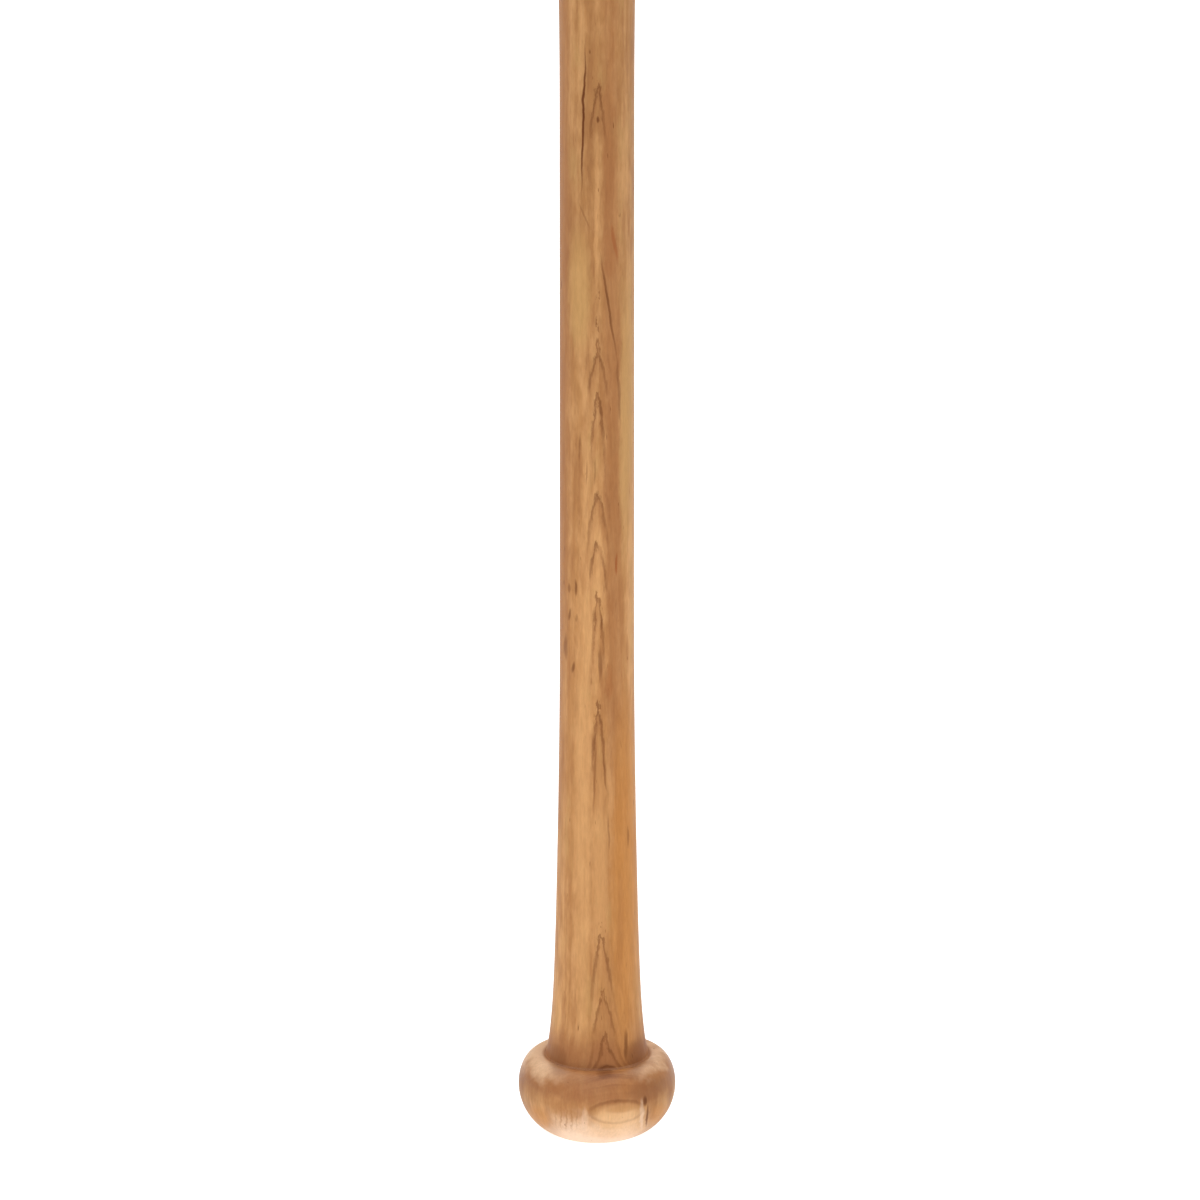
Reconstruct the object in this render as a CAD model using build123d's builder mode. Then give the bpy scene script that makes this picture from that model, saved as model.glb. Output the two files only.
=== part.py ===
from build123d import *
import os

# A wooden baseball bat, turned in one piece from a single billet.
# Millimetres. The bat stands on its knob: the origin is the centre of the knob's flat underside,
# and +Z runs up the bat's axis to the cupped barrel end.

# --- driving dimensions -------------------------------------------------------------------------

bat_length = 863.6  # 34 in
grip_diameter = 23.8  # 15/16 in, the thinnest stretch of the handle
knob_diameter = 50.4
barrel_diameter = 63.5  # 2 1/2 in

# Knob: a flat to stand on, a round side, and a shoulder that dips inward to the handle.
knob_flat_radius = 8.6
knob_widest_height = 16.8
knob_shoulder_radius = 19.1
knob_shoulder_height = 27.0

# Crease: where the handle's flare runs into the knob.
crease_radius = 16.65
crease_height = 26.5
crease_slope = -0.28  # change of the flare's radius for each mm of height

# Handle: the true cylinder between the flare and the taper.
grip_bottom = 170.0
grip_top = 345.0

# Taper: how far the straight handle and the straight barrel pull into it, as shares of its height.
taper_handle_pull = 0.50
taper_barrel_pull = 0.55

# Barrel: the true cylinder, the rounded end above it, and the cup turned into that end.
barrel_cylinder_length = 90.0
end_round_height = 28.0
end_lip_radius = 24.4
cup_diameter = 43.0
cup_depth = 19.0
cup_edge_fillet = 1.2

# --- derived sizes ------------------------------------------------------------------------------

grip_radius = grip_diameter / 2
knob_radius = knob_diameter / 2
barrel_radius = barrel_diameter / 2
cup_radius = cup_diameter / 2
barrel_top = bat_length - end_round_height
barrel_bottom = barrel_top - barrel_cylinder_length
taper_height = barrel_bottom - grip_top

# The flare as (height above the crease, radius): steep for 10 mm, then a long slow draw.
flare_shape = [(10, 14.97), (30, 13.75), (60, 12.92), (100, 12.22)]
flare_points = [(radius, crease_height + height) for height, radius in flare_shape]

# --- the bat ------------------------------------------------------------------------------------

with BuildPart() as wooden_bat:
    # Half of the outline, with the radius along X and the height along Z, closed along the axis.
    with BuildSketch(Plane.XZ):
        with BuildLine():
            # Knob: flat underside, quarter ellipse to the widest ring, quarter ellipse to the
            # shoulder, and the short dip to the crease.
            Line((0, 0), (knob_flat_radius, 0))
            EllipticalCenterArc(
                (knob_flat_radius, knob_widest_height),
                knob_radius - knob_flat_radius,
                knob_widest_height,
                start_angle=270,
                arc_size=90,
            )
            EllipticalCenterArc(
                (knob_shoulder_radius, knob_widest_height),
                knob_radius - knob_shoulder_radius,
                knob_shoulder_height - knob_widest_height,
                start_angle=0,
                arc_size=90,
            )
            TangentArc(
                (knob_shoulder_radius, knob_shoulder_height),
                (crease_radius, crease_height),
                tangent=(-1, 0),
            )
            # Handle: flare out of the crease, then the grip.
            Spline(
                (crease_radius, crease_height),
                *flare_points,
                (grip_radius, grip_bottom),
                tangents=[(crease_slope, 1), (0, 1)],
            )
            Line((grip_radius, grip_bottom), (grip_radius, grip_top))
            # Taper, and the barrel's straight side.
            Bezier(
                (grip_radius, grip_top),
                (grip_radius, grip_top + taper_handle_pull * taper_height),
                (barrel_radius, barrel_bottom - taper_barrel_pull * taper_height),
                (barrel_radius, barrel_bottom),
            )
            Line((barrel_radius, barrel_bottom), (barrel_radius, barrel_top))
            # Barrel end: quarter ellipse to the lip, the narrow lip, and the round-bottomed cup.
            EllipticalCenterArc(
                (end_lip_radius, barrel_top),
                barrel_radius - end_lip_radius,
                end_round_height,
                start_angle=0,
                arc_size=90,
            )
            Line((end_lip_radius, bat_length), (cup_radius, bat_length))
            TangentArc((0, bat_length - cup_depth), (cup_radius, bat_length), tangent=(1, 0))
            Line((0, bat_length - cup_depth), (0, 0))
        make_face()
    revolve(axis=Axis.Z)
    # Ease the corner between the lip and the cup.
    end_edges = wooden_bat.edges().filter_by(GeomType.CIRCLE).group_by(Axis.Z)[-1]
    fillet(end_edges.sort_by(SortBy.RADIUS)[0], radius=cup_edge_fillet)

wooden_bat.part.label = "wooden_bat"

os.makedirs("parts", exist_ok=True)
export_step(wooden_bat.part, "parts/wooden_bat.step")
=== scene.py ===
import math

import bpy
import numpy as np
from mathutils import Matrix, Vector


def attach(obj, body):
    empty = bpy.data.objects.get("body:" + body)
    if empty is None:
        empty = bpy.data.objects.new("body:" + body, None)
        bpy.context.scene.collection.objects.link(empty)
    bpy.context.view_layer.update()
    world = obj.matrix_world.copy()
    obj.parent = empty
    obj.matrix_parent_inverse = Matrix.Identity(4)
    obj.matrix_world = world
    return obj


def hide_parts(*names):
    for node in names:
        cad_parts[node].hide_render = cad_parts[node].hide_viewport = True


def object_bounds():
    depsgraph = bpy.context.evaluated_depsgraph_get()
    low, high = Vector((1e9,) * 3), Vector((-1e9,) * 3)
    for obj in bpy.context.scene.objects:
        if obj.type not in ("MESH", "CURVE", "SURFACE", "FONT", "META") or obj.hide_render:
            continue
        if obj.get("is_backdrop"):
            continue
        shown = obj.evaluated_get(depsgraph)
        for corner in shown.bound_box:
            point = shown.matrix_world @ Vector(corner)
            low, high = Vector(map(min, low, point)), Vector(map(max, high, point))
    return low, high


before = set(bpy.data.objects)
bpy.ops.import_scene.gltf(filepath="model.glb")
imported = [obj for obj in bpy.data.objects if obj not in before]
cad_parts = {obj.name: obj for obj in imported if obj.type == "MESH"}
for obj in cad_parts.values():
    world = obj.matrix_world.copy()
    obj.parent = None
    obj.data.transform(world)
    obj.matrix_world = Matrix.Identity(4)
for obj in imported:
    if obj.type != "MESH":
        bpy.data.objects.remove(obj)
cad_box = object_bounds()

# A one-piece wooden baseball bat standing on its knob. The CAD model's facets are about a fifth of
# a millimetre deep, so a finer mesh of the same outline stands for it, and carries the wood.
# Sizes are in millimetres. Outline sizes mean what the same names mean in the CAD source.

MM = 0.001

# --- outline sizes ------------------------------------------------------------------------------

BAT_LENGTH = 863.6
GRIP_RADIUS = 11.9
KNOB_RADIUS = 25.2
BARREL_RADIUS = 31.75
KNOB_FLAT_RADIUS = 8.6
KNOB_WIDEST_HEIGHT = 16.8
KNOB_SHOULDER_RADIUS = 19.1
KNOB_SHOULDER_HEIGHT = 27.0
CREASE_RADIUS = 16.65
CREASE_HEIGHT = 26.5
CREASE_SLOPE = -0.28  # change of the flare's radius for each mm of height
FLARE_SHAPE = [(10, 14.97), (30, 13.75), (60, 12.92), (100, 12.22)]  # height above the crease, radius
GRIP_BOTTOM = 170.0
GRIP_TOP = 345.0
TAPER_HANDLE_PULL = 0.50
TAPER_BARREL_PULL = 0.55
BARREL_CYLINDER_LENGTH = 90.0
END_ROUND_HEIGHT = 28.0
END_LIP_RADIUS = 24.4
CUP_RADIUS = 21.5
CUP_DEPTH = 19.0
CUP_EDGE_FILLET = 1.2

BARREL_TOP = BAT_LENGTH - END_ROUND_HEIGHT
BARREL_BOTTOM = BARREL_TOP - BARREL_CYLINDER_LENGTH

# --- mesh ---------------------------------------------------------------------------------------

SEGMENTS = 144
# Lengths of the steps between rows of points.
STEP_FINE = 0.35  # at the crease and the cup's edge
STEP_SHOULDER = 0.6
STEP_KNOB = 0.9
STEP_HANDLE = 2.2
STEP_BARREL = 3.0
FLARE_FOOT = 10.0  # how far up the flare the rows stay close together
TINY = 1e-6  # points closer than this are one
BOX_TOLERANCE = 0.2  # how far the turned mesh's box may be from the CAD model's, facets and all

# The bake layout is two upright strips side by side: the lower half of the bat unrolled, and the
# upper half. Each is given as shares of the layout: where it starts, and how wide it is.
LAYOUT_LOWER = (0.01, 0.35)
LAYOUT_UPPER = (0.38, 0.61)
LAYOUT_BOTTOM = 0.01
LAYOUT_TOP = 0.99

# --- growth rings -------------------------------------------------------------------------------

RING_SPACING = 0.75
PITH_DISTANCE = 110.0  # from the bat's axis to the middle of the tree, behind the bat
# How many rings have come through the front of the handle by each height. Each whole number is
# the tip of an arch.
RINGS_PASSED = [
    (28, 0),
    (39, 1),
    (52, 2),
    (71, 3),
    (125, 3.35),
    (148, 4),
    (186, 5),
    (204, 6),
    (219, 7),
    (253, 8),
    (267, 9),
    (338, 9.3),
    (355, 10),
    (375, 10.6),
]
# How far the rings lean, mm for each mm of height.
KNOB_GRAIN_SLOPE = 0.11
BARREL_GRAIN_SLOPE = 0.006
# The rings face a little to the right of the front, and more so towards the knob.
RING_TURN = math.radians(1.0)
RING_TURN_AT_KNOB = math.radians(20.0)
RING_TURN_REACH = 45.0
ARCH_POINT = 0.10  # how sharply the arches come to a point, mm of ring depth for each mm across
ARCH_POINT_ROUND = 0.6
# The rings curve more inside the knob, by this many mm of depth at one mm across, so that they
# close into a wide oval on its front.
KNOB_RING_BEND = 0.011
KNOB_RING_HEIGHTS = (22.0, 26.0)  # where the knob's ring shape gives way to the handle's
LEVEL_RISE = 0.004  # least rise of a ring, in rings to the mm, that an arch's leg is measured by


def outline_arc(centre, radii, start, end, step):
    """Points (radius, height) of an elliptical arc, both ends included. Angles are from +radius."""
    start = math.radians(start)
    end = math.radians(end)
    length = abs(end - start) * max(radii)
    count = max(2, math.ceil(length / step))
    angles = np.linspace(start, end, count + 1)
    return np.column_stack(
        (centre[0] + radii[0] * np.cos(angles), centre[1] + radii[1] * np.sin(angles))
    )


def outline_line(start, end, step):
    """Points (radius, height) of a straight line, both ends included."""
    length = math.dist(start, end)
    count = max(1, math.ceil(length / step))
    return np.linspace(start, end, count + 1)


def flare_radius(heights):
    """Radius of the handle's flare: a cubic spline with a set slope at each end."""
    knots = [(CREASE_HEIGHT, CREASE_RADIUS)]
    knots += [(CREASE_HEIGHT + height, radius) for height, radius in FLARE_SHAPE]
    knots += [(GRIP_BOTTOM, GRIP_RADIUS)]
    z, r = np.array(knots).T
    gap = np.diff(z)
    rise = np.diff(r) / gap
    size = len(z)
    matrix = np.zeros((size, size))
    target = np.zeros(size)
    matrix[0, 0] = 1
    target[0] = CREASE_SLOPE
    matrix[-1, -1] = 1
    for i in range(1, size - 1):
        matrix[i, i - 1] = gap[i]
        matrix[i, i] = 2 * (gap[i - 1] + gap[i])
        matrix[i, i + 1] = gap[i - 1]
        target[i] = 3 * (rise[i - 1] * gap[i] + rise[i] * gap[i - 1])
    slope = np.linalg.solve(matrix, target)
    i = np.clip(np.searchsorted(z, heights, side="right") - 1, 0, size - 2)
    t = (heights - z[i]) / gap[i]
    return (
        r[i] * (1 + 2 * t) * (1 - t) ** 2
        + slope[i] * gap[i] * t * (1 - t) ** 2
        + r[i + 1] * t * t * (3 - 2 * t)
        + slope[i + 1] * gap[i] * t * t * (t - 1)
    )


def taper_points():
    """Points (radius, height) of the taper's Bezier curve."""
    height = BARREL_BOTTOM - GRIP_TOP
    ends = (GRIP_TOP, GRIP_TOP + TAPER_HANDLE_PULL * height)
    tops = (BARREL_BOTTOM - TAPER_BARREL_PULL * height, BARREL_BOTTOM)
    t = np.linspace(0, 1, math.ceil(height / STEP_BARREL) + 1)
    weights = ((1 - t) ** 3, 3 * t * (1 - t) ** 2, 3 * t * t * (1 - t), t**3)
    radii = (GRIP_RADIUS, GRIP_RADIUS, BARREL_RADIUS, BARREL_RADIUS)
    radius = sum(w * r for w, r in zip(weights, radii))
    rise = sum(w * z for w, z in zip(weights, ends + tops))
    return np.column_stack((radius, rise))


def knob_points():
    """Points of the knob's outline, from the middle of its underside to the crease."""
    across = KNOB_SHOULDER_RADIUS - CREASE_RADIUS
    drop = KNOB_SHOULDER_HEIGHT - CREASE_HEIGHT
    dip_radius = (across**2 + drop**2) / (2 * drop)
    dip_turn = math.degrees(math.asin(across / dip_radius))
    shoulder_rise = KNOB_SHOULDER_HEIGHT - KNOB_WIDEST_HEIGHT
    return [
        outline_line((0, 0), (KNOB_FLAT_RADIUS, 0), STEP_KNOB),
        outline_arc(
            (KNOB_FLAT_RADIUS, KNOB_WIDEST_HEIGHT),
            (KNOB_RADIUS - KNOB_FLAT_RADIUS, KNOB_WIDEST_HEIGHT),
            -90,
            0,
            STEP_KNOB,
        ),
        outline_arc(
            (KNOB_SHOULDER_RADIUS, KNOB_WIDEST_HEIGHT),
            (KNOB_RADIUS - KNOB_SHOULDER_RADIUS, shoulder_rise),
            0,
            90,
            STEP_SHOULDER,
        ),
        outline_arc(
            (KNOB_SHOULDER_RADIUS, KNOB_SHOULDER_HEIGHT - dip_radius),
            (dip_radius, dip_radius),
            90,
            90 + dip_turn,
            STEP_FINE,
        ),
    ]


def handle_points():
    """Points of the outline from the crease up the flare and the grip."""
    foot_top = CREASE_HEIGHT + FLARE_FOOT
    foot = np.arange(CREASE_HEIGHT, foot_top, STEP_KNOB)
    heights = np.concatenate((foot, np.arange(foot_top, GRIP_BOTTOM, STEP_HANDLE)))
    return [
        np.column_stack((flare_radius(heights), heights)),
        outline_line((GRIP_RADIUS, GRIP_BOTTOM), (GRIP_RADIUS, GRIP_TOP), STEP_HANDLE),
    ]


def barrel_points():
    """Points of the outline from the top of the taper over the rounded end and into the cup."""
    sphere = (CUP_RADIUS**2 + CUP_DEPTH**2) / (2 * CUP_DEPTH)
    centre = BAT_LENGTH - CUP_DEPTH + sphere
    fillet_drop = centre - (BAT_LENGTH - CUP_EDGE_FILLET)
    fillet_reach = sphere + CUP_EDGE_FILLET
    fillet_radius = math.sqrt(fillet_reach**2 - fillet_drop**2)
    fillet_turn = math.degrees(math.asin(fillet_drop / fillet_reach))
    return [
        outline_line((BARREL_RADIUS, BARREL_BOTTOM), (BARREL_RADIUS, BARREL_TOP), STEP_BARREL),
        outline_arc(
            (END_LIP_RADIUS, BARREL_TOP),
            (BARREL_RADIUS - END_LIP_RADIUS, END_ROUND_HEIGHT),
            0,
            90,
            STEP_KNOB,
        ),
        outline_line((END_LIP_RADIUS, BAT_LENGTH), (fillet_radius, BAT_LENGTH), STEP_KNOB),
        outline_arc(
            (fillet_radius, BAT_LENGTH - CUP_EDGE_FILLET),
            (CUP_EDGE_FILLET, CUP_EDGE_FILLET),
            90,
            180 - fillet_turn,
            STEP_FINE,
        ),
        outline_arc((0, centre), (sphere, sphere), -fillet_turn, -90, STEP_KNOB),
    ]


def bat_outline():
    """Half of the bat's outline as (radius, height), from the knob's underside to the cup."""
    points = np.vstack(knob_points() + handle_points() + [taper_points()] + barrel_points())
    kept = np.ones(len(points), bool)
    kept[1:] = np.linalg.norm(np.diff(points, axis=0), axis=1) > TINY
    return points[kept]


def ring_number(x, y, z):
    """How many growth rings lie between each point and the first arch of the handle, and how
    squarely the turned surface there faces along the rings' depth."""
    heights, passed = np.array(RINGS_PASSED, float).T
    lean = RING_SPACING * passed + flare_radius(np.minimum(heights, GRIP_BOTTOM))
    below = np.clip(heights[0] - z, 0, None)
    above = np.clip(z - heights[-1], 0, None)
    lean_at_z = (
        np.interp(z, heights, lean) - KNOB_GRAIN_SLOPE * below + BARREL_GRAIN_SLOPE * above
    )
    turn = RING_TURN + RING_TURN_AT_KNOB * np.exp(-z / RING_TURN_REACH)
    across = x * np.cos(turn) + y * np.sin(turn)
    depth = y * np.cos(turn) - x * np.sin(turn)
    facing = depth**2 / np.maximum(across**2 + depth**2, TINY)
    to_pith = np.hypot(across, PITH_DISTANCE - depth)
    point = ARCH_POINT * (np.hypot(across, ARCH_POINT_ROUND) - ARCH_POINT_ROUND)
    bend = -KNOB_RING_BEND * across**2
    in_knob = np.interp(z, KNOB_RING_HEIGHTS, (1, 0))
    shape = in_knob * bend + (1 - in_knob) * point
    number = (PITH_DISTANCE - to_pith + lean_at_z + shape) / RING_SPACING
    return number, facing


def ring_marks(number, radius, height):
    """For the rows of the turned surface: how many rings it crosses in a millimetre, and how far
    each point is along its arch's leg from the tip."""
    step = np.hypot(np.gradient(radius), np.gradient(height))
    along = np.gradient(number, axis=0) / step[:, None]
    around = (np.roll(number, -1, axis=1) - np.roll(number, 1, axis=1)) / 2
    around = around / (radius[:, None] * 2 * math.pi / SEGMENTS)
    steep = np.hypot(along, around)
    legs = []
    for tips in (number.min(axis=1), number.max(axis=1)):
        rise = np.abs(np.gradient(tips) / step)
        legs.append(np.abs(number - tips[:, None]) / np.maximum(rise, LEVEL_RISE)[:, None])
    leg = np.minimum(*legs)
    leg[height < CREASE_HEIGHT] = 0
    return steep, leg


def layout_rows(outline):
    """For each stretch between two outline points: its strip, and where on it its ends come."""
    length = np.append(0, np.cumsum(np.linalg.norm(np.diff(outline, axis=0), axis=1)))
    middle = np.searchsorted(length, length[-1] / 2)
    height = LAYOUT_TOP - LAYOUT_BOTTOM
    rows = []
    for i in range(len(outline) - 1):
        lower = i < middle
        strip = LAYOUT_LOWER if lower else LAYOUT_UPPER
        start, end = (0, length[middle]) if lower else (length[middle], length[-1])
        share = (length[i : i + 2] - start) / (end - start)
        low, high = LAYOUT_BOTTOM + height * share
        rows.append((*strip, low, high))
    return rows


def turned_faces(rows, layout):
    """Faces of the turned surface, and their corners' places in the bake layout. The points run
    round each row in turn, and the last two are the middles of the underside and of the cup."""
    underside = rows * SEGMENTS
    cup = underside + 1
    last = underside - SEGMENTS
    faces = []
    corners = []
    for j in range(SEGMENTS):
        k = (j + 1) % SEGMENTS
        turned = np.array((j, j + 0.5, j + 1)) / SEGMENTS
        start, wide, bottom, top = layout[0]
        left, middle, right = start + wide * turned
        faces.append((underside, k, j))
        corners += [(middle, bottom), (right, top), (left, top)]
        for i in range(rows - 1):
            low = i * SEGMENTS
            high = low + SEGMENTS
            start, wide, bottom, top = layout[i + 1]
            left, middle, right = start + wide * turned
            faces.append((low + j, low + k, high + k, high + j))
            corners += [(left, bottom), (right, bottom), (right, top), (left, top)]
        start, wide, bottom, top = layout[-1]
        left, middle, right = start + wide * turned
        faces.append((cup, last + j, last + k))
        corners += [(middle, top), (left, bottom), (right, bottom)]
    return faces, corners


def bat_mesh(name):
    """The bat turned from its outline, with its growth rings and its bake layout stored on it."""
    outline = bat_outline()
    radius, height = outline[1:-1].T
    rows = len(radius)
    # Angle 0 is the back of the bat, where the layout's seam runs.
    angle = np.arange(SEGMENTS) * 2 * math.pi / SEGMENTS
    x = np.append(np.outer(radius, -np.sin(angle)), (0, 0))
    y = np.append(np.outer(radius, np.cos(angle)), (0, 0))
    z = np.append(np.repeat(height, SEGMENTS), (outline[0, 1], outline[-1, 1]))
    faces, corners = turned_faces(rows, layout_rows(outline))
    mesh = bpy.data.meshes.new(name)
    mesh.from_pydata((np.column_stack((x, y, z)) * MM).tolist(), [], faces)
    bake_map = mesh.uv_layers.new(name="OFBake")
    bake_map.data.foreach_set("uv", np.array(corners, np.float32).ravel())
    number, facing = ring_number(x, y, z)
    steep, leg = ring_marks(number[:-2].reshape(rows, SEGMENTS), radius, height)
    marks = {
        "rings": number,
        "facing": facing,
        "steep": np.append(steep, (1, 1)),
        "leg": np.append(leg, (0, 0)),
    }
    for key, values in marks.items():
        stored = mesh.attributes.new(key, "FLOAT", "POINT")
        stored.data.foreach_set("value", values.astype(np.float32))
    mesh.polygons.foreach_set("use_smooth", [True] * len(mesh.polygons))
    mesh.update()
    return mesh


bat = bpy.data.objects.new("turned_bat", bat_mesh("turned_bat"))
bpy.context.scene.collection.objects.link(bat)


# --- wood ---------------------------------------------------------------------------------------

# The wood's tones, as screen colours. Mauve, umber, buff and blush also stand for painted shade and
# painted light on the knob and the foot of the handle.
TONES = {
    "pale": (205, 153, 101),
    "gold": (178, 126, 78),
    "amber": (186, 124, 64),
    "olive": (186, 143, 90),
    "rose": (154, 101, 62),
    "rust": (146, 78, 40),
    "mauve": (152, 98, 62),
    "umber": (120, 74, 44),
    "cream": (226, 180, 130),
    "buff": (232, 194, 156),
    "blush": (238, 208, 182),
    "dark": (96, 52, 24),
}
# The figure on the front of the wood, with some painted shade at the foot of the handle and on the
# knob's edges. Each mark is across and up the bat, half width, half length, lean (across for each mm
# up), strength and tone. Sizes in millimetres.
ZONES = [
    # Long broad tones of the handle.
    (5.0, 250.0, 3.6, 240.0, -0.008, 0.60, "rose"),
    (-11.5, 290.0, 3.8, 230.0, 0.000, 0.70, "rose"),
    (-4.6, 110.0, 3.6, 95.0, 0.000, 0.60, "pale"),
    (1.0, 92.0, 3.2, 40.0, 0.000, 0.50, "pale"),
    (9.0, 88.0, 6.0, 78.0, 0.000, 0.75, "amber"),
    (7.4, 72.0, 1.6, 26.0, 0.000, 0.30, "rose"),
    (4.6, 118.0, 1.4, 14.0, 0.000, 0.30, "pale"),
    (9.4, 245.0, 2.8, 60.0, 0.010, 0.80, "olive"),
    (-5.5, 288.0, 4.6, 26.0, 0.000, 0.75, "olive"),
    (-0.1, 312.0, 0.9, 34.0, 0.000, 0.45, "pale"),
    (3.6, 330.0, 2.4, 28.0, 0.000, 0.45, "rose"),
    (4.2, 300.0, 3.6, 11.0, 0.000, 0.55, "rose"),
    (3.8, 156.0, 1.6, 8.0, 0.000, 0.28, "rust"),
    # The foot of the handle, darker just above the knob's crease: painted shade.
    (2.5, 33.0, 5.0, 7.0, 0.000, 0.20, "rose"),
    (-12.5, 29.0, 4.0, 4.5, 0.000, 0.50, "umber"),
    (12.5, 30.0, 4.5, 5.5, 0.000, 0.60, "umber"),
    (2.6, 27.0, 3.2, 1.8, 0.000, 0.60, "umber"),
    # The knob.
    (16.0, 20.5, 8.0, 4.5, 0.000, 0.35, "umber"),
    # Painted shade on the knob's left and right edges.
    (-18.5, 10.0, 5.0, 6.0, 0.000, 0.60, "amber"),
    (20.0, 10.0, 4.5, 6.0, 0.000, 0.60, "amber"),
    (6.7, 13.0, 10.0, 5.5, 0.000, 0.60, "cream"),
    (6.7, 8.0, 14.0, 5.0, 0.000, 0.40, "cream"),
    (8.0, 16.0, 6.0, 1.8, 0.000, 0.65, "gold"),
    (-9.5, 15.5, 6.0, 4.0, 0.000, 0.35, "rose"),
    (-3.9, 12.0, 1.4, 6.0, 0.000, 0.25, "blush"),
    (14.4, 12.0, 0.9, 7.5, 0.000, 0.45, "blush"),
]
LINES = [
    # The drying split near the top of the grip, and its foot.
    (-4.3, 345.0, 0.50, 30.0, 0.030, 1.00, "dark"),
    (-4.0, 312.5, 0.45, 5.0, -0.450, 0.30, "dark"),
    # A pin knot inside the topmost arch.
    (0.3, 344.8, 0.60, 1.5, 0.000, 0.80, "dark"),
    # The long line down the right of the arches.
    (3.7, 282.5, 0.55, 21.0, -0.148, 0.65, "dark"),
    (6.9, 254.0, 0.60, 14.0, -0.050, 0.40, "dark"),
    (5.6, 303.5, 0.80, 7.5, -0.150, 0.50, "rust"),
    # Short loose lines.
    (-5.7, 235.0, 0.45, 6.0, 0.000, 0.35, "dark"),
    (-3.2, 226.5, 0.40, 5.0, 0.000, 0.35, "dark"),
    (-0.6, 227.0, 0.40, 5.5, 0.000, 0.35, "dark"),
    (6.4, 195.5, 0.50, 4.5, 0.000, 0.70, "rust"),
    (1.3, 176.0, 0.45, 3.0, 0.000, 0.45, "dark"),
    (1.0, 162.5, 0.90, 7.0, 0.000, 0.50, "dark"),
    (-0.7, 126.0, 0.50, 14.0, 0.040, 0.40, "dark"),
    (2.4, 126.0, 0.45, 8.0, -0.080, 0.45, "dark"),
    (3.8, 105.5, 0.45, 7.5, 0.000, 0.35, "dark"),
    (9.9, 103.0, 0.45, 4.5, 0.000, 0.40, "dark"),
    (9.2, 34.0, 0.80, 6.0, 0.000, 0.60, "dark"),
    # Flecks on the left.
    (-8.9, 186.8, 0.55, 2.0, 0.000, 0.45, "dark"),
    (-6.7, 187.5, 0.60, 3.4, 0.000, 0.65, "dark"),
    (-8.9, 178.0, 0.55, 2.6, 0.100, 0.55, "dark"),
    (-6.7, 177.4, 0.55, 1.8, 0.000, 0.35, "dark"),
    (-9.9, 166.5, 0.80, 5.5, 0.000, 0.60, "umber"),
    (-7.7, 160.5, 0.65, 2.4, 0.150, 0.60, "dark"),
    # The check in the knob.
    (15.4, 17.3, 0.80, 2.2, 0.000, 0.80, "dark"),
    (16.1, 11.5, 0.50, 5.5, 0.050, 0.75, "dark"),
]

# Stretches of the bat as (start, end), in millimetres: of height, of radius, or out to either side.
# The front's edge runs back to the axis, and the listed figure gives out over it.
FRONT_EDGE = (-2.0, 0.0)
BARREL_GRAIN = (360.0, 480.0)
BARREL_COAT_AND_LIGHT = (380.0, 520.0)  # the barrel's clear coat comes in, and its painted shade lightens
UPPER_HANDLE = (150.0, 330.0)
CLEAN_FOOT = (75.0, 120.0)  # the ring lines are hardly broken below it
KNOB_GRAIN = (22.0, 27.0)
KNOB_TOP = (27.05, 27.15)  # just above the knob's shoulder
KNOB_SHINE = (17.0, 24.0)
OVAL_RISE = (9.0, 15.0)
# Painted shade on the knob's upper side and the foot of the handle:
NECK_SHADE_BOTTOM = (13.5, 21.0)
NECK_SHADE_TOP = (30.0, 42.0)
# A painted highlight on the sides of the knob's shoulder:
SHOULDER_RISE = (22.3, 27.8)
SHOULDER_RADII = (16.7, 18.0)
SHOULDER_SIDE = (7.0, 18.0)
SHOULDER_TILT = -0.04  # the painted highlight on the shoulder's edge drops to the left, mm for each mm across
# Painted shade in the crease:
CREASE_RISE = (25.0, 26.4)
CREASE_RADII = (16.8, 19.5)
CREASE_SIDE = (5.0, 14.0)
# Painted light and reflection from the floor on the knob's lower side, over some real wear:
WEAR_AND_FLOOR_LIGHT_TOP = (4.0, 17.0)
WEAR_AND_FLOOR_LIGHT_SIDE = (8.0, 19.0)
SHADED_SIDE = (11.0, 23.0)
SHADED_TOP = (20.0, 26.0)

# The wood's unevenness. Each kind is its repeats in a millimetre across the bat and up it, how many
# finer layers it has, and how strong they are.
UNEVEN = {
    "wander": (0.13, 0.016, 3.0, 0.60),
    "ruffle": (0.90, 0.280, 4.0, 0.65),
    "breaks": (0.40, 0.090, 3.0, 0.50),
    "bands": (0.20, 0.012, 3.0, 0.55),
    "streaks": (0.45, 0.060, 3.0, 0.55),
    "blotches": (0.28, 0.100, 3.0, 0.60),
    "patches": (0.17, 0.045, 4.0, 0.60),
    "clouds": (0.14, 0.140, 3.0, 0.60),
    "dashes": (1.10, 0.200, 1.0, 0.50),
    "gather": (0.09, 0.020, 2.0, 0.50),
    "fibres": (1.60, 0.240, 4.0, 0.70),
}

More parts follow.
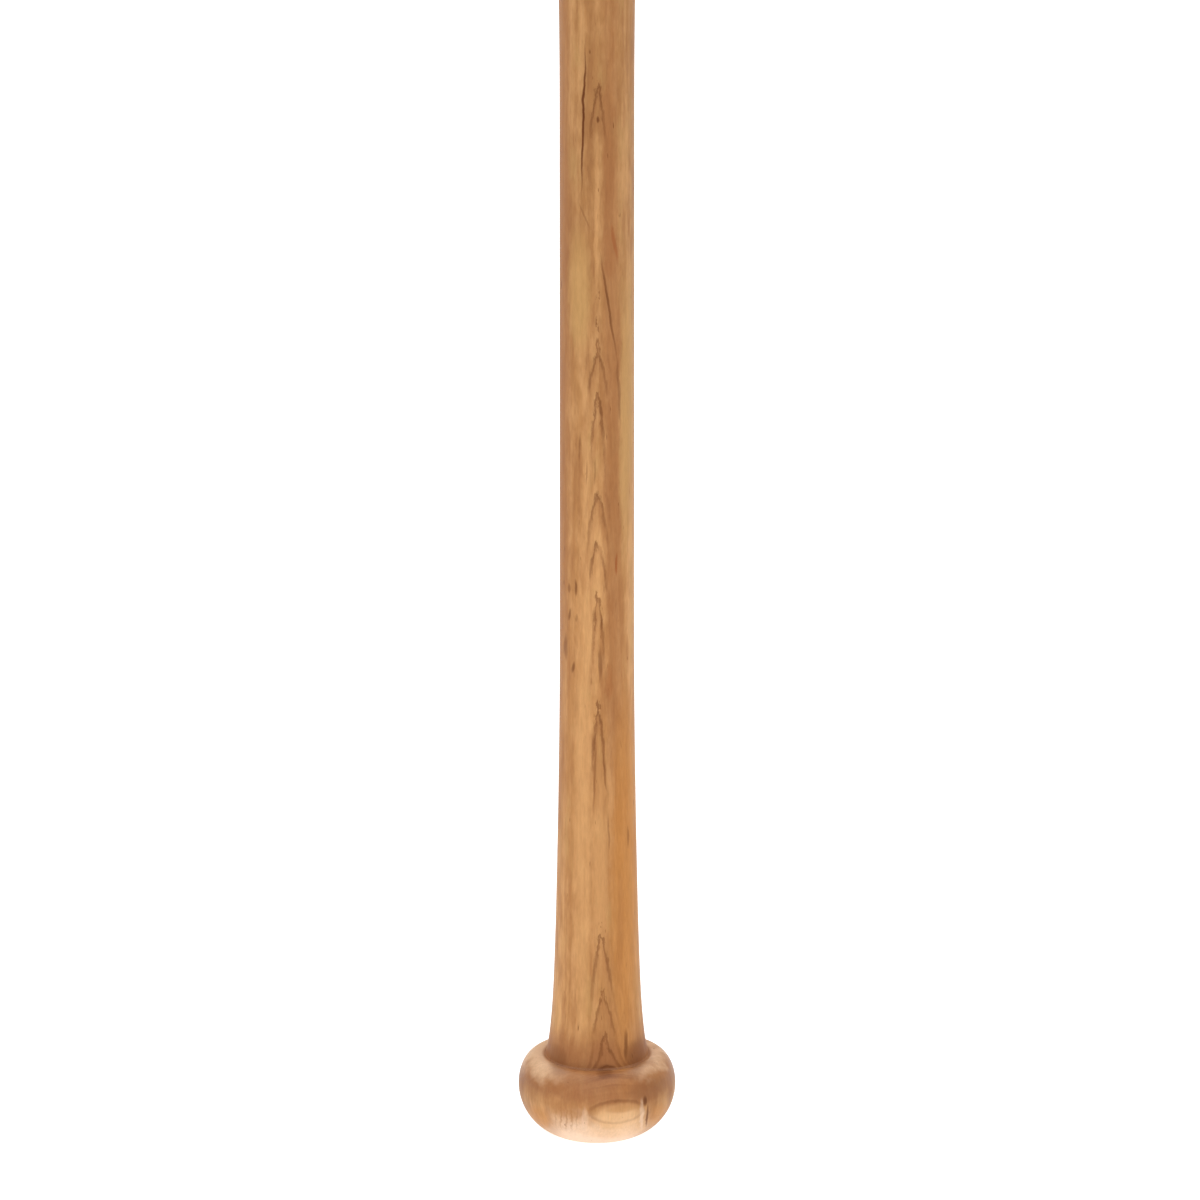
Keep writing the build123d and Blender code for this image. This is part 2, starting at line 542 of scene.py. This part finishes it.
# Growth ring lines. Amounts are in rings, and widths are in millimetres on the surface.
RING_WANDER = 0.35
HANDLE_WANDER = 0.40  # share of it in the handle
RING_RUFFLE = 0.36
KNOB_RUFFLE = 0.35  # share of it in the knob
ARCH_RINGS = ((-0.5, 0.0), (11.0, 11.5))  # the first and the last ring of the handle's arches
OVAL_RINGS = (-12.6, -12.4)  # the knob's oval is the last ring before them
OTHER_KNOB_RING = 0.15
OVAL_BOLD = (0.25, 0.75)  # low on the knob's front, and high on it
BOLD_PICK = (0.40, 0.70)  # of each other ring's random value, from faint to bold
FAINT_RING = 0.1
FACING_POWER = 6.0
SIDE_BOLD = 0.12  # at the sides of the bat
TIP_FADE = (5.0, 26.0)  # along an arch's leg from its tip
LEG_BOLD = 0.20  # beyond that, in the handle
BARREL_BOLD = 0.25  # what the barrel has on top of it
LEAST_STEEP = 0.05
LATE_WIDTH = (0.0, 4.0)
LINE_BEFORE = (0.2, 1.1)
LINE_AFTER = (0.0, 0.4)
BREAKS_SHOW = (0.26, 0.52)
FOOT_UNBROKEN = 0.8  # least share of a line's strength at the foot

# Shares of the noises in the wood's ground tone, and the noise values over which tones turn.
BAND_SHARE = 0.45
RING_TONE_SHARE = 0.20
BLOTCH_SHARE = 0.35
RING_TONE_SCALE = 0.45
GROUND_TURN = (0.38, 0.60)
STREAKS_SHOW = (0.50, 0.70)
DARK_PATCHES = (0.50, 0.66)
LIGHT_PATCHES = (0.32, 0.46)
FLECKS_SHOW = (0.74, 0.84)
FLECKS_GATHER = (0.50, 0.75)
FLECK_PULL = 0.05  # added to the flecks' noise where they gather
FIBRES_SHOW = (0.25, 0.75)
FIBRE_SHADE = (0.92, 1.06)
CLOUD_SWING = 5.0  # mm, how far the edges of the painted shade, highlight and floor light on the knob and the foot of the handle stray

# How strongly each layer of tone covers the wood below it.
STREAK_COVER = 0.38
DARK_PATCH_COVER = 0.35
LIGHT_PATCH_COVER = 0.45
LATE_COVER = 0.40
# Painted shade on the knob and the foot of the handle, painted shade in the crease, a painted
# highlight on the shoulder, and painted floor light over some real wear:
NECK_SHADE_COVER = 0.75
CREASE_SHADE_COVER = 0.28
SHOULDER_HIGHLIGHT_COVER = 0.70
WEAR_AND_FLOOR_LIGHT_COVER = 0.90
LINE_COVER = 0.52
WAVE_COVER = 0.45
FLECK_COVER = 0.60
# Shares of those covers that are left at the sides of the bat.
CREASE_AT_SIDES = 0.15
WEAR_AND_FLOOR_LIGHT_AT_SIDES = 0.25

# Painted shade, as shares of the wood's brightness; the barrel's lift takes some of it back.
UPPER_HANDLE_SHADE = 0.83
BARREL_LIFT = 0.09
KNOB_SIDE_SHADE = 0.14

# How far the listed marks stray, in millimetres.
WOBBLE = 0.6
WOBBLE_SCALE = 0.07
ZONE_RAGGED = 0.9
LINE_FRAYED = 0.3
# Fine upright lines beside the knob's oval.
WAVE_SPACING = 1.7
WAVE_RUFFLE = 5.0  # radians
WAVE_SHOW = (0.2, 1.0)
WAVE_PLACE = (-9.8, 12.0)
WAVE_SIZE = (5.5, 6.0)

# The surface under its clear coat.
BUMP_STRENGTH = 0.3
BUMP_DEPTH = 0.05  # mm
GROOVE = -0.8  # depth of lines and flecks beside the fibres'
SHEEN_FIBRES = (0.2, 0.8)
ROUGHNESS = (0.42, 0.58)
SPECULAR = 0.10
KNOB_COAT = (0.05, 0.30)
BARREL_COAT = 0.30
COAT_ROUGHNESS = 0.30

SCREEN_WHITE = 255
SCREEN_GAMMA = 2.2


def linear(tone):
    """A tone as linear light."""
    return tuple((v / SCREEN_WHITE) ** SCREEN_GAMMA for v in TONES[tone]) + (1.0,)


class Graph:
    """Short names for the shader nodes that are used here. A value may be a socket or a number."""

    def __init__(self, tree):
        self.tree = tree

    def node(self, kind, **settings):
        made = self.tree.nodes.new(kind)
        for key, value in settings.items():
            setattr(made, key, value)
        return made

    def put(self, value, socket):
        if isinstance(value, bpy.types.NodeSocket):
            self.tree.links.new(value, socket)
        else:
            socket.default_value = value

    def math(self, operation, *values):
        made = self.node("ShaderNodeMath", operation=operation)
        for socket, value in zip(made.inputs, values):
            self.put(value, socket)
        return made.outputs[0]

    def sum(self, *values):
        total = values[0]
        for value in values[1:]:
            total = self.math("ADD", total, value)
        return total

    def product(self, *values):
        total = values[0]
        for value in values[1:]:
            total = self.math("MULTIPLY", total, value)
        return total

    def between(self, share, low, high):
        """low where share is 0, high where it is 1."""
        return self.math("MULTIPLY_ADD", share, high - low, low)

    def swing(self, noise, amount):
        """Noise of 0 to 1 as a swing of amount to either side of nothing."""
        return self.between(noise, -amount, amount)

    def rise(self, value, stretch, ends=(0.0, 1.0)):
        """A smooth step from one end to the other as value goes through the stretch."""
        made = self.node("ShaderNodeMapRange", interpolation_type="SMOOTHSTEP")
        for socket, number in zip(made.inputs, (value, *stretch, *ends)):
            self.put(number, socket)
        return made.outputs[0]

    def fall(self, value, stretch, least=0.0):
        """A smooth step from 1 down to least as value goes through the stretch."""
        return self.rise(value, stretch, (1.0, least))

    def scaled(self, vector, across, up):
        """Coordinates scaled by across in plan and by up in height."""
        made = self.node("ShaderNodeVectorMath", operation="MULTIPLY")
        self.put(vector, made.inputs[0])
        made.inputs[1].default_value = (across, across, up)
        return made.outputs[0]

    def line_noise(self, value, scale, detail=2.0):
        """Noise that changes with one value only."""
        made = self.node("ShaderNodeTexNoise", noise_dimensions="1D")
        self.put(value, made.inputs["W"])
        made.inputs["Scale"].default_value = scale
        made.inputs["Detail"].default_value = detail
        return made.outputs[0]

    def mix(self, share, a, b, blend="MIX"):
        """Two colours mixed. The node's colour sockets come after those for numbers and vectors."""
        made = self.node("ShaderNodeMix", data_type="RGBA", blend_type=blend)
        self.put(share, made.inputs[0])
        self.put(a, made.inputs[6])
        self.put(b, made.inputs[7])
        return made.outputs[2]


class Wood(Graph):
    """The wood's shader nodes, with the place on the bat and the wood's unevenness at hand."""

    def __init__(self, tree):
        super().__init__(tree)
        metres = self.node("ShaderNodeTexCoord").outputs["Object"]
        self.place = self.scaled(metres, 1 / MM, 1 / MM)
        split = self.node("ShaderNodeSeparateXYZ")
        self.put(self.place, split.inputs[0])
        self.x, y, self.z = split.outputs
        self.sideways = self.math("ABSOLUTE", self.x)
        plan = self.node("ShaderNodeVectorMath", operation="LENGTH")
        self.put(self.scaled(self.place, 1.0, 0.0), plan.inputs[0])
        self.radius = plan.outputs["Value"]
        self.front = self.fall(y, FRONT_EDGE)
        self.barrel = self.rise(self.z, BARREL_GRAIN)
        self.knob = self.fall(self.z, KNOB_GRAIN)
        self.knob_top = self.fall(self.z, KNOB_TOP)
        self.ruffle = self.uneven("ruffle")
        self.fibres = self.uneven("fibres")
        self.wobble = self.swing(self.line_noise(self.z, WOBBLE_SCALE), WOBBLE)

    def uneven(self, kind):
        across, up, detail, roughness = UNEVEN[kind]
        made = self.node("ShaderNodeTexNoise")
        self.put(self.scaled(self.place, across, up), made.inputs["Vector"])
        made.inputs["Scale"].default_value = 1.0
        made.inputs["Detail"].default_value = detail
        made.inputs["Roughness"].default_value = roughness
        return made.outputs[0]

    def stored(self, key):
        """A value stored on the mesh."""
        return self.node("ShaderNodeAttribute", attribute_name=key).outputs["Fac"]

    def spot(self, x, place, size, lean=0.0):
        """1 at place, falling smoothly to 0 at size from it; it leans across as it rises."""
        up = self.math("SUBTRACT", self.z, place[1])
        across = self.math("SUBTRACT", x, place[0])
        across = self.math("MULTIPLY_ADD", up, -lean, across)
        across = self.math("DIVIDE", across, size[0])
        up = self.math("DIVIDE", up, size[1])
        far = self.math("MULTIPLY_ADD", across, across, self.product(up, up))
        return self.fall(far, (0.0, 1.0))

    def lay(self, colour, tone, strength, *where):
        """colour with a tone laid over it where all the masks agree."""
        return self.mix(self.product(*where, strength), colour, linear(tone))


def ring_boldness(g, rings):
    """How boldly each ring is drawn. The handle's arches and the knob's oval stand out, mostly at
    the tips of the arches and where the surface faces along the rings' depth."""
    pick = g.node("ShaderNodeTexWhiteNoise", noise_dimensions="1D")
    g.put(g.math("FLOOR", rings), pick.inputs["W"])
    picked = g.rise(pick.outputs[0], BOLD_PICK, (FAINT_RING, 1.0))
    first, last = ARCH_RINGS
    arches = g.product(g.rise(rings, first), g.fall(rings, last))
    handle_ring = g.math("MAXIMUM", arches, picked)
    oval = g.fall(rings, OVAL_RINGS, OTHER_KNOB_RING)
    knob_ring = g.product(oval, g.rise(g.z, OVAL_RISE, OVAL_BOLD))
    handle_ring = g.product(handle_ring, g.math("SUBTRACT", 1.0, g.knob))
    ring = g.sum(handle_ring, g.product(knob_ring, g.knob))
    squarely = g.math("POWER", g.stored("facing"), FACING_POWER)
    near_tip = g.fall(g.stored("leg"), TIP_FADE)
    leg = g.between(g.barrel, LEG_BOLD, LEG_BOLD + BARREL_BOLD)
    tip = g.math("MULTIPLY_ADD", near_tip, 1.0 - LEG_BOLD, leg)
    return g.product(g.between(squarely, SIDE_BOLD, 1.0), tip, ring)


def growth_rings(g):
    """The growth rings' numbers, the soft darkening before each ring's edge, and the thin line at
    the edge."""
    wander = g.swing(g.uneven("wander"), RING_WANDER)
    wander = g.product(wander, g.between(g.barrel, HANDLE_WANDER, 1.0))
    ruffle = g.swing(g.ruffle, RING_RUFFLE)
    ruffle = g.product(ruffle, g.between(g.knob, 1.0, KNOB_RUFFLE))
    rings = g.sum(g.stored("rings"), wander, ruffle)
    bold = ring_boldness(g, rings)
    part = g.math("FRACT", rings)
    steep = g.sum(g.stored("steep"), LEAST_STEEP)
    before = g.math("DIVIDE", g.math("SUBTRACT", 1.0, part), steep)
    after = g.math("DIVIDE", part, steep)
    late = g.product(g.fall(before, LATE_WIDTH), bold)
    line = g.math("MAXIMUM", g.fall(before, LINE_BEFORE), g.fall(after, LINE_AFTER))
    unbroken = g.rise(g.uneven("breaks"), BREAKS_SHOW)
    unbroken = g.math("MAXIMUM", unbroken, g.rise(g.z, CLEAN_FOOT, (FOOT_UNBROKEN, 0.0)))
    return rings, late, g.product(line, unbroken, bold)


def ground_tones(g, rings, late):
    """The wood before any mark: whole rings differ, long streaks run through them, and the finish
    blotches."""
    ring_tone = g.line_noise(rings, RING_TONE_SCALE)
    ground = g.sum(
        g.product(g.uneven("bands"), BAND_SHARE),
        g.product(ring_tone, RING_TONE_SHARE),
        g.product(g.uneven("blotches"), BLOTCH_SHARE),
    )
    colour = g.mix(g.rise(ground, GROUND_TURN), linear("pale"), linear("gold"))
    colour = g.lay(colour, "rose", STREAK_COVER, g.rise(g.uneven("streaks"), STREAKS_SHOW))
    patches = g.uneven("patches")
    colour = g.lay(colour, "rose", DARK_PATCH_COVER, g.rise(patches, DARK_PATCHES))
    colour = g.lay(colour, "olive", LIGHT_PATCH_COVER, g.fall(patches, LIGHT_PATCHES))
    return g.lay(colour, "rose", LATE_COVER, late)


def knob_light_and_wear(g, colour):
    """Painted light and shade on the knob and the foot of the handle: painted shade on the knob's
    upper side and the foot of the handle, and in the crease; a painted highlight on the sides of the
    shoulder; and on the knob's lower side painted light and reflection from the floor over wood
    rubbed pale."""
    cloudy_z = g.sum(g.z, g.swing(g.uneven("clouds"), CLOUD_SWING))
    tilted_z = g.math("MULTIPLY_ADD", g.x, SHOULDER_TILT, cloudy_z)
    # Painted shade on the knob's upper side and the foot of the handle.
    neck_shade = (g.rise(cloudy_z, NECK_SHADE_BOTTOM), g.fall(cloudy_z, NECK_SHADE_TOP))
    # Painted shade in the crease.
    crease = (
        g.fall(g.radius, CREASE_RADII),
        g.rise(g.z, CREASE_RISE),
        g.fall(g.sideways, CREASE_SIDE, CREASE_AT_SIDES),
        g.knob_top,
    )
    # A painted highlight on the sides of the shoulder.
    shoulder = (
        g.rise(g.radius, SHOULDER_RADII),
        g.rise(tilted_z, SHOULDER_RISE),
        g.rise(g.sideways, SHOULDER_SIDE),
        g.knob_top,
    )
    # Painted light and reflection from the floor on the knob's lower side, over some real wear.
    wear_and_floor_light = (g.fall(cloudy_z, WEAR_AND_FLOOR_LIGHT_TOP), g.fall(g.sideways, WEAR_AND_FLOOR_LIGHT_SIDE, WEAR_AND_FLOOR_LIGHT_AT_SIDES))
    colour = g.lay(colour, "mauve", NECK_SHADE_COVER, *neck_shade)
    colour = g.lay(colour, "umber", CREASE_SHADE_COVER, *crease)
    colour = g.lay(colour, "buff", SHOULDER_HIGHLIGHT_COVER, *shoulder)
    return g.lay(colour, "blush", WEAR_AND_FLOOR_LIGHT_COVER, *wear_and_floor_light)


def shading(g, colour):
    """Painted shade: the wood darkens up the handle, a little less on the barrel, and round the sides
    of the knob.
    """
    handle = g.fall(g.z, UPPER_HANDLE, UPPER_HANDLE_SHADE)
    shade = g.sum(handle, g.rise(g.z, BARREL_COAT_AND_LIGHT, (0.0, BARREL_LIFT)))
    knob_side = g.product(g.rise(g.sideways, SHADED_SIDE), g.knob, g.fall(g.z, SHADED_TOP))
    shade = g.product(shade, g.between(knob_side, 1.0, 1.0 - KNOB_SIDE_SHADE))
    return g.mix(1.0, colour, shade, "MULTIPLY")


def hand_figure(g, colour):
    """The listed marks on the front of the bat, a little ragged."""
    for marks, stray in ((ZONES, ZONE_RAGGED), (LINES, LINE_FRAYED)):
        x = g.sum(g.x, g.wobble, g.swing(g.ruffle, stray))
        for at_x, at_z, half_width, half_length, lean, strength, tone in marks:
            spot = g.spot(x, (at_x, at_z), (half_width, half_length), lean)
            colour = g.lay(colour, tone, strength, spot, g.front)
    return colour


def knob_waves(g, colour):
    """Fine upright lines beside the knob's oval."""
    x = g.sum(g.x, g.wobble)
    turn = g.math("MULTIPLY_ADD", x, 2 * math.pi / WAVE_SPACING, g.swing(g.ruffle, WAVE_RUFFLE))
    waves = g.rise(g.math("SINE", turn), WAVE_SHOW)
    return g.lay(colour, "rose", WAVE_COVER, waves, g.spot(g.x, WAVE_PLACE, WAVE_SIZE), g.front)


def fleck_mask(g):
    """Short dark flecks that gather in places."""
    gather = g.rise(g.uneven("gather"), FLECKS_GATHER, (0.0, FLECK_PULL))
    return g.rise(g.sum(g.uneven("dashes"), gather), FLECKS_SHOW)


def clear_coat(g, surface):
    """The clear coat shines on the knob's shoulder and the barrel, and is rubbed off the handle."""
    knob_coat = g.product(g.rise(g.z, KNOB_SHINE, KNOB_COAT), g.knob_top)
    barrel_coat = g.rise(g.z, BARREL_COAT_AND_LIGHT, (0.0, BARREL_COAT))
    g.put(g.sum(knob_coat, barrel_coat), surface.inputs["Coat Weight"])
    surface.inputs["Coat Roughness"].default_value = COAT_ROUGHNESS


def wood_material(name):
    """Hard maple under a clear satin coat."""
    material = bpy.data.materials.new(name)
    material.use_nodes = True
    material.node_tree.nodes.clear()
    g = Wood(material.node_tree)
    rings, late, line = growth_rings(g)
    flecks = fleck_mask(g)
    colour = ground_tones(g, rings, late)
    colour = knob_light_and_wear(g, colour)
    colour = shading(g, colour)
    colour = hand_figure(g, colour)
    colour = g.lay(colour, "dark", LINE_COVER, line)
    colour = knob_waves(g, colour)
    colour = g.lay(colour, "dark", FLECK_COVER, flecks)
    colour = g.mix(1.0, colour, g.rise(g.fibres, FIBRES_SHOW, FIBRE_SHADE), "MULTIPLY")

    bump = g.node("ShaderNodeBump")
    bump.inputs["Strength"].default_value = BUMP_STRENGTH
    bump.inputs["Distance"].default_value = BUMP_DEPTH * MM
    height = g.math("MULTIPLY_ADD", g.sum(line, flecks), GROOVE, g.fibres)
    g.put(height, bump.inputs["Height"])

    surface = g.node("ShaderNodeBsdfPrincipled")
    g.put(colour, surface.inputs["Base Color"])
    g.put(g.rise(g.fibres, SHEEN_FIBRES, ROUGHNESS), surface.inputs["Roughness"])
    g.put(bump.outputs[0], surface.inputs["Normal"])
    surface.inputs["Specular IOR Level"].default_value = SPECULAR
    clear_coat(g, surface)
    output = g.node("ShaderNodeOutputMaterial")
    g.put(surface.outputs[0], output.inputs["Surface"])
    return material


bat.data.materials.append(wood_material("maple"))
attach(bat, "root")
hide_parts("wooden_bat")

# --- studio -------------------------------------------------------------------------------------

# Metres here. The camera looks down at the bat from in front of it, from far away through a long
# lens. The frame holds the knob and the lower part of the handle.
CAMERA_ELEVATION = math.radians(18.5)
CAMERA_DISTANCE = 9.0
CAMERA_REACH = 100.0
FRAME_HEIGHT = 0.3834
SENSOR = 36.0
AIM = (0.00096, 0.0, 0.1801)
KEY_PLACE = (-0.6, -2.6, 1.2)
KEY_AIM = (0.0, 0.0, 0.3)
KEY_SIZE = 1.5
KEY_WATTS = 8.0
FLOOR_SIZE = 16.0
FLOOR_DROP = 0.0002
FLOOR_TONE = (0.5, 0.5, 0.5, 1.0)
FLOOR_ROUGHNESS = 0.9
FLOOR_GLOW = 0.85
WHITE = (1.0, 1.0, 1.0, 1.0)
SKY_RISE = (0.45, 0.90)  # sines of the elevations over which the surroundings brighten
SKY_LIGHT = (0.40, 1.9)  # their brightness below that and above it
SKY_SEEN = 1.0  # their brightness to the camera


def add(name, data):
    """A new object in the scene."""
    made = bpy.data.objects.new(name, data)
    bpy.context.scene.collection.objects.link(made)
    return made


def add_key_light():
    """A square softbox in front of the bat, a little to the left."""
    light = bpy.data.lights.new("key", "AREA")
    light.size = KEY_SIZE
    light.energy = KEY_WATTS
    key = add("key", light)
    key.location = KEY_PLACE
    back = Vector(KEY_PLACE) - Vector(KEY_AIM)
    key.rotation_euler = back.to_track_quat("Z", "Y").to_euler()


def add_floor():
    """A plain pale floor under the knob."""
    half = FLOOR_SIZE / 2
    corners = [(-half, -half), (half, -half), (half, half), (-half, half)]
    mesh = bpy.data.meshes.new("floor")
    mesh.from_pydata([(x, y, -FLOOR_DROP) for x, y in corners], [], [(0, 1, 2, 3)])
    material = bpy.data.materials.new("floor")
    material.use_nodes = True
    surface = material.node_tree.nodes["Principled BSDF"]
    surface.inputs["Base Color"].default_value = FLOOR_TONE
    surface.inputs["Roughness"].default_value = FLOOR_ROUGHNESS
    surface.inputs["Specular IOR Level"].default_value = 0.0
    surface.inputs["Emission Color"].default_value = WHITE
    surface.inputs["Emission Strength"].default_value = FLOOR_GLOW
    mesh.materials.append(material)
    add("floor", mesh)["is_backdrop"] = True


def add_world():
    """Plain white surroundings: full white to the camera, softer as light."""
    world = bpy.data.worlds.new("studio")
    world.use_nodes = True
    bpy.context.scene.world = world
    g = Graph(world.node_tree)
    sky = world.node_tree.nodes["Background"]
    sky.inputs["Color"].default_value = WHITE
    direction = g.node("ShaderNodeSeparateXYZ")
    g.put(g.node("ShaderNodeTexCoord").outputs["Generated"], direction.inputs[0])
    light = g.rise(direction.outputs["Z"], SKY_RISE, SKY_LIGHT)
    strength = g.node("ShaderNodeMapRange")
    g.put(g.node("ShaderNodeLightPath").outputs["Is Camera Ray"], strength.inputs["Value"])
    g.put(light, strength.inputs["To Min"])
    strength.inputs["To Max"].default_value = SKY_SEEN
    g.put(strength.outputs[0], sky.inputs["Strength"])


def add_camera():
    """The camera at the bat's front."""
    data = bpy.data.cameras.new("camera")
    data.sensor_width = SENSOR
    data.lens = SENSOR * CAMERA_DISTANCE / FRAME_HEIGHT
    data.clip_end = CAMERA_REACH
    camera = add("camera", data)
    back = Vector((0, -math.cos(CAMERA_ELEVATION), math.sin(CAMERA_ELEVATION)))
    camera.location = Vector(AIM) + back * CAMERA_DISTANCE
    camera.rotation_euler = back.to_track_quat("Z", "Y").to_euler()
    bpy.context.scene.camera = camera


add_floor()
add_world()
add_key_light()
add_camera()
bpy.context.scene.view_settings.view_transform = "Standard"

seen_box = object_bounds()
farthest = max(abs(a - b) for cad, seen in zip(cad_box, seen_box) for a, b in zip(cad, seen))
if farthest > BOX_TOLERANCE * MM:
    raise SystemExit("The turned mesh isn't the size of the CAD model.")
